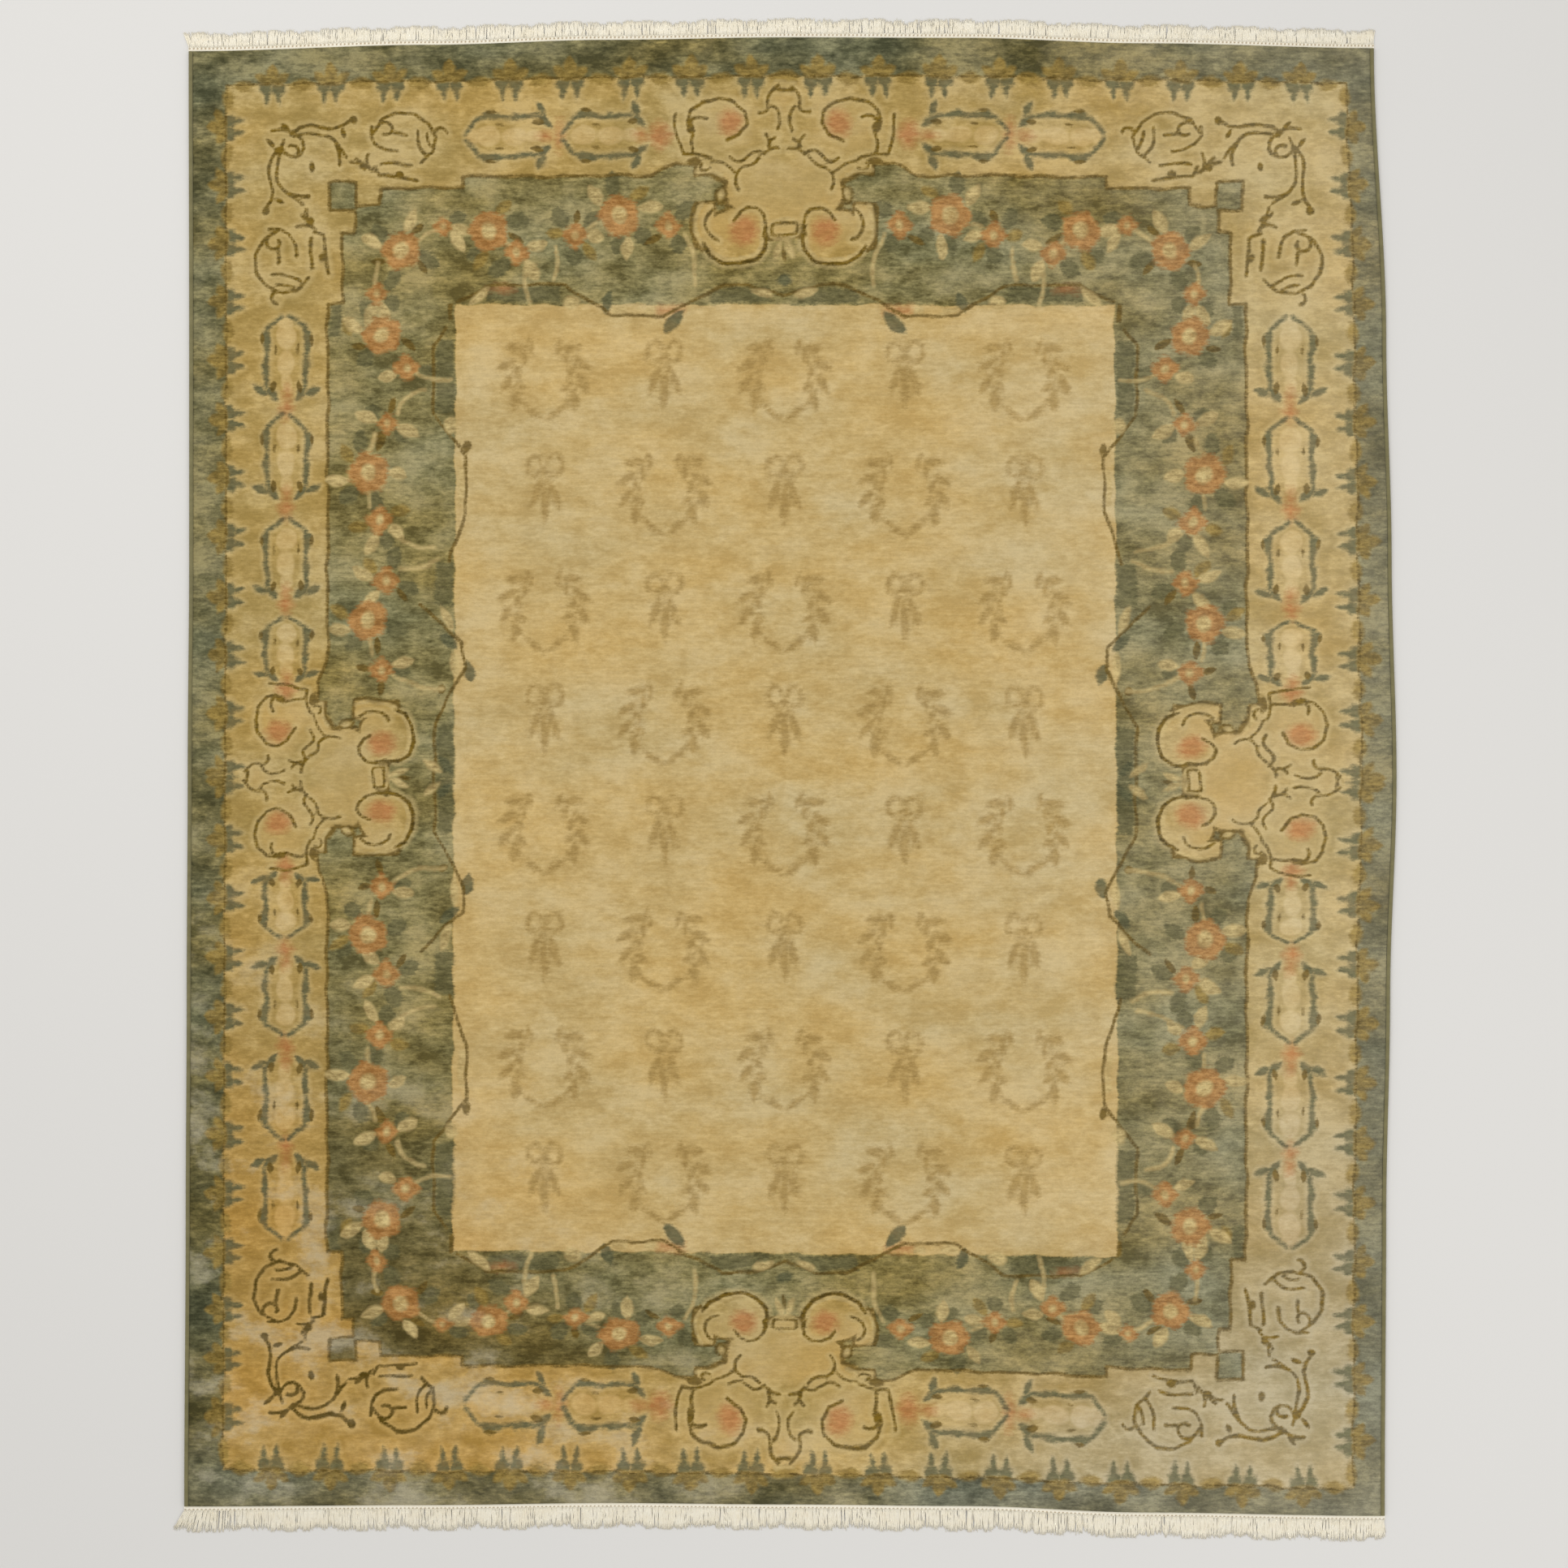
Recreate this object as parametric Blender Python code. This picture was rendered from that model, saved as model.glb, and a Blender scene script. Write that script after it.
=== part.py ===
"""A hand-knotted wool rug lying flat: a knotted slab, an overcast roll along each long side,
and a plain-woven end band with a cotton fringe at each end.

Metres, +Z up, +X across the rug, +Y along it. The origin is on the floor under the middle.
"""

import math

import bmesh
import bpy

# Driving sizes of the knotted slab
PILE_WIDTH = 2.44
PILE_LENGTH = 2.97
PILE_HEIGHT = 0.011
SHOULDER_WIDTH = 0.005
SHOULDER_DROP = 0.0035
GROUND_RIPPLE = 0.0006
# Two crossing waves make the unevenness. Columns: radians a metre across, along, phase
RIPPLE_WAVES = ((4.1, 1.3, 0.0), (-1.7, 2.3, 0.8))

# Edge pieces
GAP = 0.0003
ROLL_WIDTH = 0.009
ROLL_HEIGHT = 0.0085
ROLL_SIDE_SHARE = 0.45
ROLL_ARC_STEPS = 5
BAND_WIDTH = 0.010
BAND_HEIGHT = 0.0035

# Fringe, in locks of warp threads that lie on the floor
LOCKS_PER_END = 140
LOCK_SHARE = 0.80
LOCK_TIP_SHARE = 0.55
LOCK_TIP_HEIGHT = 0.0016
FAR_FRINGE_LENGTH = 0.029
NEAR_FRINGE_LENGTH = 0.041
LOCK_LENGTH_CHANGE = 0.13
LOCK_LEAN = 0.0022
# Waves that vary the locks. Columns: radians from lock to lock, phase
LENGTH_WAVES = ((1.9, 0.0), (0.37, 1.0))
LEAN_WAVE = (1.13, 0.5)
# At the left corners the last locks are trodden outwards.
FAR_CORNER_FAN = 0.010
NEAR_CORNER_FAN = 0.022
FAN_LOCKS = 7

# Steps of the slab's grid
STEPS_ACROSS = 24
STEPS_ALONG = 30

HALF_WIDTH = PILE_WIDTH / 2 - ROLL_WIDTH - GAP
HALF_LENGTH = PILE_LENGTH / 2

# How far the real edges lie outside the true rectangle, in millimetres.
# Columns: place along the rug from -1 (near end) to 1 (far end), left edge, right edge
SIDE_BOWS = (
    (-1.00, 3, -5),
    (-0.60, 0, -2),
    (-0.30, -2, 6),
    (0.00, -4, 19),
    (0.30, -7, 9),
    (0.60, -7, -2),
    (1.00, -6, -27),
)
# Columns: place across the rug from -1 (left) to 1 (right), near edge, far edge
END_BOWS = (
    (-1.00, -5, -12),
    (-0.60, -8, 1),
    (-0.30, -12, 11),
    (0.00, -9, 16),
    (0.30, -6, 15),
    (0.60, 7, 4),
    (1.00, 14, -6),
)
# A bow fades towards the middle of the rug with this power of the distance.
BOW_FADE = 6

GREEN_WOOL = (0.175, 0.165, 0.085)
ROLL_WOOL = (0.26, 0.23, 0.11)
COTTON = (0.86, 0.78, 0.60)


def bow_at(table, column, place):
    """Smooth curve through one column of a bow table, in metres."""
    place = max(-1.0, min(1.0, place))
    for low, high in zip(table, table[1:]):
        if place <= high[0]:
            share = (place - low[0]) / (high[0] - low[0])
            share = share * share * (3 - 2 * share)
            return (low[column] + (high[column] - low[column]) * share) / 1000
    return table[-1][column] / 1000


def laid(x, y):
    """Where a point of the true rectangle lies on the real rug, with its edges bowed."""
    across, along = x / HALF_WIDTH, y / HALF_LENGTH
    right_share = max(0.0, (1 + across) / 2) ** BOW_FADE
    left_share = max(0.0, (1 - across) / 2) ** BOW_FADE
    far_share = max(0.0, (1 + along) / 2) ** BOW_FADE
    near_share = max(0.0, (1 - along) / 2) ** BOW_FADE
    left = bow_at(SIDE_BOWS, 1, along)
    right = bow_at(SIDE_BOWS, 2, along)
    near = bow_at(END_BOWS, 1, across)
    far = bow_at(END_BOWS, 2, across)
    return (
        x + right * right_share - left * left_share,
        y + far * far_share - near * near_share,
    )


def pile_top(x, y):
    """Height of the knotted face, with the soft unevenness of a rug on a hard floor."""
    ripple = sum(math.sin(a * x + b * y + phase) for a, b, phase in RIPPLE_WAVES)
    return PILE_HEIGHT + GROUND_RIPPLE * ripple


def wool(name, colour, roughness):
    """A plain material for one sub-part."""
    material = bpy.data.materials.new(name)
    material.use_nodes = True
    shader = material.node_tree.nodes["Principled BSDF"]
    shader.inputs["Base Color"].default_value = (*colour, 1)
    shader.inputs["Roughness"].default_value = roughness
    shader.inputs["Metallic"].default_value = 0
    return material


def add_object(name, points, faces, material, centre):
    """One closed object from points and faces, moved so that the rug's box is centred."""
    mesh = bpy.data.meshes.new(name)
    mesh.from_pydata([(x - centre[0], y - centre[1], z) for x, y, z in points], [], faces)
    built = bmesh.new()
    built.from_mesh(mesh)
    bmesh.ops.recalc_face_normals(built, faces=built.faces)
    built.to_mesh(mesh)
    built.free()
    mesh.materials.append(material)
    thing = bpy.data.objects.new(name, mesh)
    bpy.context.scene.collection.objects.link(thing)
    return thing


def stations(half, steps):
    """Grid lines from -half to half, with one close to each edge for the rounded shoulder."""
    inner = half - SHOULDER_WIDTH
    middle = [-inner + 2 * inner * k / steps for k in range(steps + 1)]
    return [-half, *middle, half]


def on_edge(xs, x, y):
    """The point of the slab's end edge at x, on the straight run between two grid lines."""
    x_held = max(-HALF_WIDTH, min(HALF_WIDTH, x))
    k = max(n for n in range(len(xs) - 1) if xs[n] <= x_held)
    share = (x_held - xs[k]) / (xs[k + 1] - xs[k])
    (ax, ay), (bx, by) = laid(xs[k], y), laid(xs[k + 1], y)
    return ax + (bx - ax) * share + (x - x_held), ay + (by - ay) * share


def knotted_slab():
    """Points and faces of the slab: a gently uneven top, a dropped shoulder and a flat base."""
    xs = stations(HALF_WIDTH, STEPS_ACROSS)
    ys = stations(HALF_LENGTH, STEPS_ALONG)
    columns, rows = len(xs), len(ys)
    points, faces = [], []
    for j, y in enumerate(ys):
        for i, x in enumerate(xs):
            rim = i in (0, columns - 1) or j in (0, rows - 1)
            px, py = laid(x, y)
            points.append((px, py, pile_top(px, py) - SHOULDER_DROP * rim))
    for j in range(rows - 1):
        for i in range(columns - 1):
            a = j * columns + i
            faces.append((a, a + 1, a + 1 + columns, a + columns))
    loop = list(range(columns))
    loop += [j * columns + columns - 1 for j in range(1, rows)]
    loop += [(rows - 1) * columns + i for i in range(columns - 2, -1, -1)]
    loop += [j * columns for j in range(rows - 2, 0, -1)]
    first = len(points)
    points += [(points[k][0], points[k][1], 0.0) for k in loop]
    count = len(loop)
    for k in range(count):
        after = (k + 1) % count
        faces.append((loop[k], first + k, first + after, loop[after]))
    faces.append(tuple(first + k for k in range(count - 1, -1, -1)))
    return points, faces


def side_roll(side):
    """Points and faces of the overcast roll on one long side: a half-round bar, flat below."""
    arc = [math.pi * k / ROLL_ARC_STEPS for k in range(ROLL_ARC_STEPS + 1)]
    profile = [(0.0, 0.0)]
    profile += [
        (
            ROLL_WIDTH / 2 - math.cos(a) * ROLL_WIDTH / 2,
            ROLL_HEIGHT * (ROLL_SIDE_SHARE + (1 - ROLL_SIDE_SHARE) * math.sin(a)),
        )
        for a in arc
    ]
    profile.append((ROLL_WIDTH, 0.0))
    points, faces = [], []
    ys = stations(HALF_LENGTH, STEPS_ALONG)
    steps = len(ys) - 1
    for y in ys:
        edge_x, edge_y = laid(side * HALF_WIDTH, y)
        for out, up in profile:
            points.append((edge_x + side * (GAP + out), edge_y, up))
    size = len(profile)
    for j in range(steps):
        for k in range(size):
            a, b = j * size + k, j * size + (k + 1) % size
            faces.append((a, b, b + size, a + size))
    faces.append(tuple(range(size)))
    faces.append(tuple(range(steps * size, (steps + 1) * size)))
    return points, faces


def end_band(end, fringe_length, corner_fan):
    """Points and faces of one woven band with its fringe: each lock grows out of the band's edge."""
    half = HALF_WIDTH + GAP + ROLL_WIDTH
    pitch = 2 * half / LOCKS_PER_END
    lock_width = pitch * LOCK_SHARE
    xs = [-half]
    for n in range(LOCKS_PER_END):
        middle = -half + pitch * (n + 0.5)
        xs += [middle - lock_width / 2, middle + lock_width / 2]
    xs.append(half)
    grid = stations(HALF_WIDTH, STEPS_ACROSS)
    points, faces = [], []
    for x in xs:
        px, py = on_edge(grid, x, end * HALF_LENGTH)
        inner, outer = py + end * GAP, py + end * (GAP + BAND_WIDTH)
        points += [
            (px, inner, 0.0),
            (px, inner, BAND_HEIGHT),
            (px, outer, BAND_HEIGHT),
            (px, outer, 0.0),
        ]
    for k in range(len(xs) - 1):
        a, b = 4 * k, 4 * k + 4
        faces += [
            (a, a + 1, b + 1, b),
            (a + 1, a + 2, b + 2, b + 1),
            (a + 3, a, b, b + 3),
        ]
        if k % 2 == 0:
            faces.append((a + 2, a + 3, b + 3, b + 2))
        else:
            number = k // 2
            fan = corner_fan * max(0.0, 1 - number / FAN_LOCKS) ** 2
            root = (a + 3, b + 3, b + 2, a + 2)
            add_lock(points, faces, root, end, fringe_length, fan, number)
    faces.append((0, 1, 2, 3))
    last = 4 * (len(xs) - 1)
    faces.append((last, last + 1, last + 2, last + 3))
    return points, faces


def add_lock(points, faces, root, end, fringe_length, fan, number):
    """Draws one lock out of its root face in two steps, thinner, lower and leaning to its tip."""
    change = sum(math.sin(step * number + phase) for step, phase in LENGTH_WAVES)
    length = fringe_length * (1 + LOCK_LENGTH_CHANGE * change / len(LENGTH_WAVES))
    lean = LOCK_LEAN * math.sin(LEAN_WAVE[0] * number + LEAN_WAVE[1]) - fan
    middle_x = (points[root[0]][0] + points[root[1]][0]) / 2
    ring = root
    for share in (0.5, 1.0):
        narrow = 1 - (1 - LOCK_TIP_SHARE) * share**2
        top = BAND_HEIGHT + (LOCK_TIP_HEIGHT - BAND_HEIGHT) * share
        first = len(points)
        for corner in root:
            x, y, z = points[corner]
            new_x = middle_x + (x - middle_x) * narrow + lean * share
            points.append((new_x, y + end * length * share, top if z > 0 else 0.0))
        new = tuple(range(first, first + 4))
        for k in range(4):
            faces.append((ring[k], ring[(k + 1) % 4], new[(k + 1) % 4], new[k]))
        ring = new
    faces.append(ring)


def main():
    for thing in list(bpy.data.objects):
        bpy.data.objects.remove(thing)
    pile = wool("pile_wool", GREEN_WOOL, 0.85)
    roll = wool("roll_wool", ROLL_WOOL, 0.85)
    cotton = wool("fringe_cotton", COTTON, 0.9)
    shapes = (
        ("knotted_rug", knotted_slab(), pile),
        ("side_roll_left", side_roll(-1), roll),
        ("side_roll_right", side_roll(1), roll),
        ("end_band_far", end_band(1, FAR_FRINGE_LENGTH, FAR_CORNER_FAN), cotton),
        ("end_band_near", end_band(-1, NEAR_FRINGE_LENGTH, NEAR_CORNER_FAN), cotton),
    )
    everything = [p for _, (points, _), _ in shapes for p in points]
    centre = [
        (min(p[axis] for p in everything) + max(p[axis] for p in everything)) / 2
        for axis in (0, 1)
    ]
    for name, (points, faces), material in shapes:
        add_object(name, points, faces, material, centre)


main()
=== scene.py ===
import bpy
import numpy as np
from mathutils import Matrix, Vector


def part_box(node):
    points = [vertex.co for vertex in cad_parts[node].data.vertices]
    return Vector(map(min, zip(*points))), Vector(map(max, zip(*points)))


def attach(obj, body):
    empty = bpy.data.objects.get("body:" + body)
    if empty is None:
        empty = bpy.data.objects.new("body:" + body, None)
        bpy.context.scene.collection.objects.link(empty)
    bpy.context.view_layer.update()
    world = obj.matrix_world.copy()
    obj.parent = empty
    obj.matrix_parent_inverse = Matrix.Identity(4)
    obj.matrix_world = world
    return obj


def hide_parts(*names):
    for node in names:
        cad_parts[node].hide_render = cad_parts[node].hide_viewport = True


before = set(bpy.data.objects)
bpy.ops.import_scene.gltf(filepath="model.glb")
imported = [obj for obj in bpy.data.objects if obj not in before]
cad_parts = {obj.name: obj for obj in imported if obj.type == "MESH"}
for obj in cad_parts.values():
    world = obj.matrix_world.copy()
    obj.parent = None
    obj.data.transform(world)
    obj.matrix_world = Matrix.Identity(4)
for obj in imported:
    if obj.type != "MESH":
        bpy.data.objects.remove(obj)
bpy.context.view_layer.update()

# The foundation: undyed cotton warps and wefts under the knots, flat on the floor. The pile, the
# rolls and the ends are all tied to it. Its back is coloured in two mottled brownish tones.
# The rug isn't a true rectangle: its edges bow by a few millimetres, most on the right.
HALF_WIDTH = 1.2107
HALF_LENGTH = 1.485
# How far each edge lies outside the true rectangle, from millimetres: one value for each of the
# places along it, which run from -1 to 1
PLACES = np.array((-1.0, -0.6, -0.3, 0.0, 0.3, 0.6, 1.0))
LEFT_BOW = np.array((3, 0, -2, -4, -7, -7, -6)) / 1000
RIGHT_BOW = np.array((-5, -2, 6, 19, 9, -2, -27)) / 1000
NEAR_BOW = np.array((-5, -8, -12, -9, -6, 7, 14)) / 1000
FAR_BOW = np.array((-12, 1, 11, 16, 15, 4, -6)) / 1000
BOW_FADE = 14
PILE_HEIGHT = 0.011
RIPPLE = 0.0006
FOUNDATION_TOP = 0.0030
FOUNDATION_INSET = 0.0015
FOUNDATION_PITCH = 0.04
UNDER_PILE = 0.0003
BACK_BUMP = 0.0006
SLAB_CREASE = 0.9


def bow(values, place):
    """A bow between its table rows: each step follows 3 s^2 - 2 s^3, so it starts and ends level."""
    place = np.clip(place, -1, 1)
    k = np.clip(np.searchsorted(PLACES, place, side="right") - 1, 0, len(PLACES) - 2)
    share = (place - PLACES[k]) / (PLACES[k + 1] - PLACES[k])
    return values[k] + (values[k + 1] - values[k]) * share**2 * (3 - 2 * share)


def laid_out(x, y):
    """True-rectangle places moved to the real rug: each edge's bow, faded inwards by a steep power."""
    across, along = x / HALF_WIDTH, y / HALF_LENGTH
    right = bow(RIGHT_BOW, along) * np.clip((1 + across) / 2, 0, None) ** BOW_FADE
    left = bow(LEFT_BOW, along) * np.clip((1 - across) / 2, 0, None) ** BOW_FADE
    far = bow(FAR_BOW, across) * np.clip((1 + along) / 2, 0, None) ** BOW_FADE
    near = bow(NEAR_BOW, across) * np.clip((1 - along) / 2, 0, None) ** BOW_FADE
    return x + right - left, y + far - near


def face_height(x, y):
    """Height of the pile: two crossing waves of the floor's unevenness on an even height."""
    return PILE_HEIGHT + RIPPLE * (np.sin(4.1 * x + 1.3 * y) + np.sin(2.3 * y - 1.7 * x + 0.8))


# The rug's own middle, found by laying the slab's left and near edges on its solid's
SLAB_LOW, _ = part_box("knotted_rug")
EDGE = np.linspace(-1, 1, 400)
CENTRE_X = SLAB_LOW.x - laid_out(-HALF_WIDTH, EDGE * HALF_LENGTH)[0].min()
CENTRE_Y = SLAB_LOW.y - laid_out(EDGE * HALF_WIDTH, -HALF_LENGTH)[1].min()


def evenly(low, high, pitch):
    """Grid lines from low to high, no wider apart than the pitch."""
    return np.linspace(low, high, int(np.ceil((high - low) / pitch)) + 1)


def grid_lines(hole, half, pitch):
    """Grid lines from side to side: even steps over the hole, if any, and even steps beside it."""
    if hole == 0:
        return evenly(-half, half, pitch)
    side = evenly(hole, half, pitch)
    return np.concatenate((-side[::-1], evenly(-hole, hole, pitch)[1:-1], side))


def put_in(name, data):
    """A new object in the scene, holding the data."""
    thing = bpy.data.objects.new(name, data)
    bpy.context.scene.collection.objects.link(thing)
    return thing


def new_piece(name, points, faces, crease=None):
    """An object from points and faces, smooth except over edges sharper than the crease, in radians."""
    mesh = bpy.data.meshes.new(name)
    mesh.from_pydata(points.reshape(-1, 3).tolist(), [], faces)
    mesh.shade_smooth()
    if crease:
        mesh.set_sharp_from_angle(angle=crease)
    return put_in(name, mesh)


def slab(name, half_size, hole, pitch, heights, base):
    """A closed slab on a grid: top at heights(x, y), base flat, walls between them.

    Cells whose middle lies inside the hole (half width, half length) are left out, and the hole
    gets walls too. Returns the object and its points' places on the true rectangle.
    """
    xs, ys = (grid_lines(inner, outer, pitch) for inner, outer in zip(hole, half_size))
    gx, gy = np.meshgrid(xs, ys)
    columns, rows = len(xs), len(ys)
    number = np.arange(rows * columns).reshape(rows, columns)
    middle_x, middle_y = (xs[1:] + xs[:-1]) / 2, (ys[1:] + ys[:-1]) / 2
    kept = ~((np.abs(middle_x)[None, :] < hole[0]) & (np.abs(middle_y)[:, None] < hole[1]))
    quads = np.stack((number[:-1, :-1], number[:-1, 1:], number[1:, 1:], number[1:, :-1]), -1)[kept]
    used, renumbered = np.unique(quads, return_inverse=True)
    quads = renumbered.reshape(quads.shape)
    new_number = np.full(rows * columns, -1)
    new_number[used] = np.arange(len(used))
    number = new_number[number]
    flat_x, flat_y = gx.ravel()[used], gy.ravel()[used]
    x, y = laid_out(flat_x, flat_y)
    top = np.stack((x + CENTRE_X, y + CENTRE_Y, heights(flat_x, flat_y)), -1)

    def sides(i0, i1, j0, j1):
        """The four straight sides of a rectangle of grid numbers, anticlockwise from the near one."""
        return [number[j0, i0 : i1 + 1], number[j0 : j1 + 1, i1],
                number[j1, i0 : i1 + 1][::-1], number[j0 : j1 + 1, i0][::-1]]

    loops = [sides(0, columns - 1, 0, rows - 1)]
    if hole[0] > 0:
        i = np.flatnonzero(np.abs(xs) <= hole[0] + 1e-9)
        j = np.flatnonzero(np.abs(ys) <= hole[1] + 1e-9)
        loops.append(sides(i[0], i[-1], j[0], j[-1]))
    rims = [np.concatenate([side[:-1] for side in loop]) for loop in loops]
    rim = np.concatenate(rims)
    below = np.full(len(used), -1)
    below[rim] = len(used) + np.arange(len(rim))
    under = top[rim].copy()
    under[:, 2] = base
    faces = quads.tolist()
    for turn, ring in enumerate(rims):
        after = np.roll(ring, -1)
        wall = np.stack((ring, below[ring], below[after], after), -1)
        faces += (wall[:, ::-1] if turn else wall).tolist()
    if len(rims) == 1:
        faces.append(below[rims[0]][::-1].tolist())
    else:
        for outer, inner in zip(*loops):
            faces.append(np.concatenate((below[inner], below[outer][::-1])).tolist())
    everywhere = np.concatenate((np.arange(len(used)), rim))
    thing = new_piece(name, np.concatenate((top, under)), faces, SLAB_CREASE)
    return thing, flat_x[everywhere], flat_y[everywhere]


def fill(tree, sockets, values):
    """Links or sets input sockets in order; a bare colour is three numbers."""
    for socket, value in zip(sockets, values):
        if isinstance(value, bpy.types.NodeSocket):
            tree.links.new(value, socket)
        else:
            socket.default_value = (*value, 1) if socket.type == "RGBA" else value


def node(tree, kind, values=(), **settings):
    """A shader node of a kind with its settings, and its first input sockets linked or set."""
    made = tree.nodes.new("ShaderNode" + kind)
    for key, value in settings.items():
        setattr(made, key, value)
    fill(tree, made.inputs, values)
    return made


def maths(tree, *values, operation="ADD"):
    """One Math node over two values."""
    return node(tree, "Math", values, operation=operation).outputs[0]


def mixed(tree, share, low, high, blend="MIX"):
    """A colour the given share of the way from low to high, or to low blended with high."""
    made = node(tree, "Mix", data_type="RGBA", blend_type=blend)
    fill(tree, (made.inputs[0], made.inputs[6], made.inputs[7]), (share, low, high))
    return made.outputs[2]


# One knot's width and length
KNOT = (0.0028, 0.0026)


def knotted_face():
    """Node group for hand-knotted wool, from a place in metres.

    Jitter is one random number from -1 to 1 for each knot. Streak follows the rows of knots, which
    take the dye a little differently. Fleck, Mottle and Cloud are the dye's unevenness from small
    to large, and Drift is how its hue changes over the rug. Height is Streak and a third of the
    random number, for bumps.
    """
    group = bpy.data.node_groups.new("knotted_face", "ShaderNodeTree")
    group.interface.new_socket("Place", in_out="INPUT", socket_type="NodeSocketVector")
    for name in ("Jitter", "Streak", "Fleck", "Mottle", "Cloud", "Drift", "Height"):
        group.interface.new_socket(name, in_out="OUTPUT", socket_type="NodeSocketFloat")
    place = group.nodes.new("NodeGroupInput").outputs[0]
    ends = group.nodes.new("NodeGroupOutput")

    def spread(scale, **noise):
        """Noise over the place, with its own steps per metre across and along."""
        moved = node(group, "Mapping", (place, (0, 0, 0), (0, 0, 0), scale))
        made = node(group, "TexNoise")
        group.links.new(moved.outputs[0], made.inputs["Vector"])
        made.inputs["Scale"].default_value = 1
        for key, value in noise.items():
            made.inputs[key].default_value = value
        return made.outputs[0]

    knot = node(group, "VectorMath", (place, (*KNOT, 1)), operation="SNAP")
    spot = node(group, "TexWhiteNoise", (knot.outputs[0],)).outputs[0]
    jitter = node(group, "MapRange", (spot, 0, 1, -1, 1)).outputs[0]
    streak = spread((9, 230, 1), Detail=3, Roughness=0.65)
    fleck = spread((60, 150, 1), Detail=4, Roughness=0.65)
    mottle = spread((22, 42, 1), Detail=4, Roughness=0.6)
    cloud = spread((7, 10, 1), Detail=5, Roughness=0.6)
    drift = spread((2.6, 5.2, 1), Detail=3, Roughness=0.5)
    height = maths(group, maths(group, spot, 0.35, operation="MULTIPLY"), streak)
    fill(group, ends.inputs, (jitter, streak, fleck, mottle, cloud, drift, height))
    return group


KNOTTED = knotted_face()


def soft_stuff(name, rough, sheen):
    """A new cloth material, with the shader's fixed values set and the knotted face laid on it.

    Returns the material, its node tree, its shader, the place on the object and the face's outputs.
    """
    material = bpy.data.materials.new(name)
    material.use_nodes = True
    tree = material.node_tree
    shader = tree.nodes["Principled BSDF"]
    shader.inputs["Roughness"].default_value = rough
    shader.inputs["Specular IOR Level"].default_value = 0.08
    shader.inputs["Sheen Weight"].default_value = sheen
    shader.inputs["Sheen Roughness"].default_value = 0.5
    place = node(tree, "TexCoord").outputs["Object"]
    face = node(tree, "Group", (place,), node_tree=KNOTTED)
    return material, tree, shader, place, face.outputs


def bump(tree, shader, height, distance, strength=1.0):
    """Carries a height to the shader's normal, as bumps of the given distance in metres."""
    made = node(tree, "Bump")
    made.inputs["Distance"].default_value = distance
    made.inputs["Strength"].default_value = strength
    tree.links.new(height, made.inputs["Height"])
    tree.links.new(made.outputs[0], shader.inputs["Normal"])


BACK_SHADE = (0.27, 0.22, 0.13)
BACK_COTTON = (0.40, 0.31, 0.19)

foundation, _, _ = slab(
    "woven_foundation", (HALF_WIDTH - FOUNDATION_INSET, HALF_LENGTH - FOUNDATION_INSET),
    (0, 0), FOUNDATION_PITCH, lambda x, y: np.full(x.shape, FOUNDATION_TOP - UNDER_PILE), 0.0,
)
back_material, tree, shader, _, face = soft_stuff("foundation_cotton", rough=0.9, sheen=0.1)
colour = mixed(tree, face["Mottle"], BACK_SHADE, BACK_COTTON)
tree.links.new(colour, shader.inputs["Base Color"])
bump(tree, shader, face["Height"], BACK_BUMP)
foundation.data.materials.append(back_material)
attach(foundation, "root")
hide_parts("knotted_rug")

# The pile: dyed wool knots, 8 mm above the foundation and clipped level, in one cloth. It is four
# pieces here only to keep each mesh small: the field, the vine band, the main border and the outer
# border, on one drawing. Each point holds how far it lies outside each dye's shapes, in millimetres
# and no further than the reach.
REACH = 16.0
DYES = ("moss", "sage", "ground", "shade", "slate", "olive", "gold", "cream", "coral", "heart",
        "rose", "dark", "tan", "faded")


def line(u, v, points, width):
    """Distance outside a drawn line: least distance to its straight runs, less half its width."""
    best = np.full(u.shape, 4 * REACH)
    for (ax, ay), (bx, by) in zip(points[:-1], points[1:]):
        run = (bx - ax) ** 2 + (by - ay) ** 2
        share = np.clip(((u - ax) * (bx - ax) + (v - ay) * (by - ay)) / run, 0, 1)
        best = np.minimum(best, np.hypot(u - ax - share * (bx - ax), v - ay - share * (by - ay)))
    return best - width / 2


def leaf(u, v, base, tip, width):
    """Distance outside a leaf: from its midrib, less half the width times sin(pi t)^0.7."""
    (ax, ay), (bx, by) = base, tip
    length = np.hypot(bx - ax, by - ay)
    along = ((u - ax) * (bx - ax) + (v - ay) * (by - ay)) / length
    aside = np.abs((v - ay) * (bx - ax) - (u - ax) * (by - ay)) / length
    share = np.clip(along / length, 0, 1)
    beyond = np.maximum(np.maximum(-along, along - length), 0)
    return np.hypot(aside, beyond) - width / 2 * np.sin(np.pi * share) ** 0.7


def oval(u, v, centre, radii):
    """Distance outside an oval: how far the scaled radius is over one, times the lesser radius."""
    return (np.hypot((u - centre[0]) / radii[0], (v - centre[1]) / radii[1]) - 1) * min(radii)


def bloom(u, v, centre, radius, petals, depth):
    """Distance outside a flower: the radius swells and draws in as a cosine of the angle."""
    du, dv = u - centre[0], v - centre[1]
    return np.hypot(du, dv) - radius * (1 + depth * np.cos(petals * np.arctan2(dv, du)))


def block(u, v, corner, opposite):
    """Distance outside an upright rectangle, given by two opposite corners."""
    (left, low), (right, high) = np.sort((corner, opposite), 0)
    du, dv = np.maximum(left - u, u - right), np.maximum(low - v, v - high)
    return np.minimum(np.maximum(du, dv), 0) + np.hypot(np.maximum(du, 0), np.maximum(dv, 0))


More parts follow.
